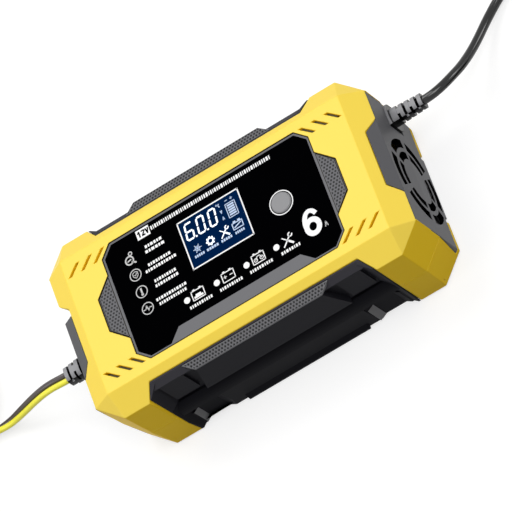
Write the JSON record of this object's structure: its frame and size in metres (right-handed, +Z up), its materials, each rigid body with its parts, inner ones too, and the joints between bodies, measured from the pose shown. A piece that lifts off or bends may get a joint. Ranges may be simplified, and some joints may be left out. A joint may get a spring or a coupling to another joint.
{
  "type": "car battery charger",
  "caption": "a flat oblong charger with sloping shoulders and cut corners that feeds a car battery through a thin twin lead with two spring clamps and takes mains through a thin cord",
  "frame": {"origin": "middle of the case footprint, on the surface that the charger lies on", "axes": "X along the case with the fan end at +X, Y across it, Z up through the display"},
  "size_m": [0.3602, 0.1639, 0.0481],
  "materials": {
    "yellow_plastic": "warm yellow moulding",
    "grey_plastic": "mid-grey moulding",
    "dark_plastic": "near-black moulding",
    "black_gloss": "smooth black",
    "black_matte": "matt black",
    "white_plastic": "white",
    "display_glass": "clear pane",
    "lens_plastic": "clear lens",
    "board_green": "green solder mask",
    "steel": "plated steel",
    "aluminium": "bare extrusion",
    "black_rubber": "soft black",
    "yellow_rubber": "soft yellow",
    "grey_rubber": "soft dark grey",
    "ferrite": "ferrite",
    "winding_tape": "yellow tape",
    "winding_copper": "enamelled copper",
    "yellow_grip": "yellow moulding",
    "black_grip": "black moulding"
  },
  "bodies": {
    "case": {"board_chips": "black_matte", "board_screws": "steel", "bridge_rectifier": "black_matte", "bulk_capacitor": "black_gloss", "case_screws": "steel", "clamp_pins": "steel", "clamp_springs": "steel", "cord_ties": "black_matte", "display_bezel": "grey_plastic", "display_board": "board_green", "display_overlay": "black_gloss", "fan_end_panel": "grey_plastic", "fan_frame": "black_matte", "fan_stator": "winding_copper", "fixed_clamp_teeth": "steel", "front_grip_strip": "grey_plastic", "front_side_panel": "dark_plastic", "front_side_skirt": "dark_plastic", "fuse": "display_glass", "heatsinks": "aluminium", "indicator_lenses": "lens_plastic", "lcd_backlight": "white_plastic", "lcd_module": "black_matte", "lcd_window": "display_glass", "line_filter_choke": "winding_copper", "lower_shell": "yellow_plastic", "main_board": "board_green", "mains_cord": "black_rubber", "mains_cord_coil": "black_rubber", "mains_cord_end": "black_rubber", "mains_strain_relief": "black_rubber", "negative_clamp_fixed_jaw": "black_grip", "negative_wire": "grey_rubber", "negative_wire_coil": "grey_rubber", "negative_wire_end": "grey_rubber", "output_capacitors": "black_gloss", "output_end_panel": "grey_plastic", "output_strain_relief": "black_rubber", "plug_body": "black_matte", "plug_pins": "steel", "positive_clamp_fixed_jaw": "yellow_grip", "positive_wire": "yellow_rubber", "positive_wire_coil": "yellow_rubber", "positive_wire_end": "yellow_rubber", "power_transistors": "black_matte", "rear_grip_strip": "grey_plastic", "rear_side_panel": "dark_plastic", "rear_side_skirt": "dark_plastic", "ribbon_cable": "white_plastic", "rubber_feet": "black_rubber", "tact_switch": "black_matte", "transformer_core": "ferrite", "transformer_winding": "winding_tape", "upper_shell": "yellow_plastic"},
    "mode_button": {"mode_button": "grey_plastic"},
    "fan_rotor": {"fan_rotor": "black_matte"},
    "positive_moving_jaw": {"positive_clamp_moving_jaw": "yellow_grip", "positive_clamp_moving_teeth": "steel"},
    "negative_moving_jaw": {"negative_clamp_moving_jaw": "black_grip", "negative_clamp_moving_teeth": "steel"}
  },
  "joints": [
    {"name": "mode_button_press", "type": "slide", "parent": "case", "child": "mode_button", "axis": [0, 0, -1], "range_m": [0, 0.0005], "stiffness_N_per_m": 2000},
    {"name": "fan_spin", "type": "hinge", "parent": "case", "child": "fan_rotor", "pos_m": [0.067, -0.0042, 0.0205], "axis": [1, 0, 0], "continuous": true},
    {"name": "positive_clamp_hinge", "type": "hinge", "parent": "case", "child": "positive_moving_jaw", "pos_m": [-0.168, -0.071, 0.0055], "axis": [0, 0, -1], "range_deg": [0, 24], "stiffness_Nm_per_rad": 0.6},
    {"name": "negative_clamp_hinge", "type": "hinge", "parent": "case", "child": "negative_moving_jaw", "pos_m": [-0.1418, -0.071, 0.0055], "axis": [0, 0, 1], "range_deg": [0, 24], "stiffness_Nm_per_rad": 0.6}
  ]
}
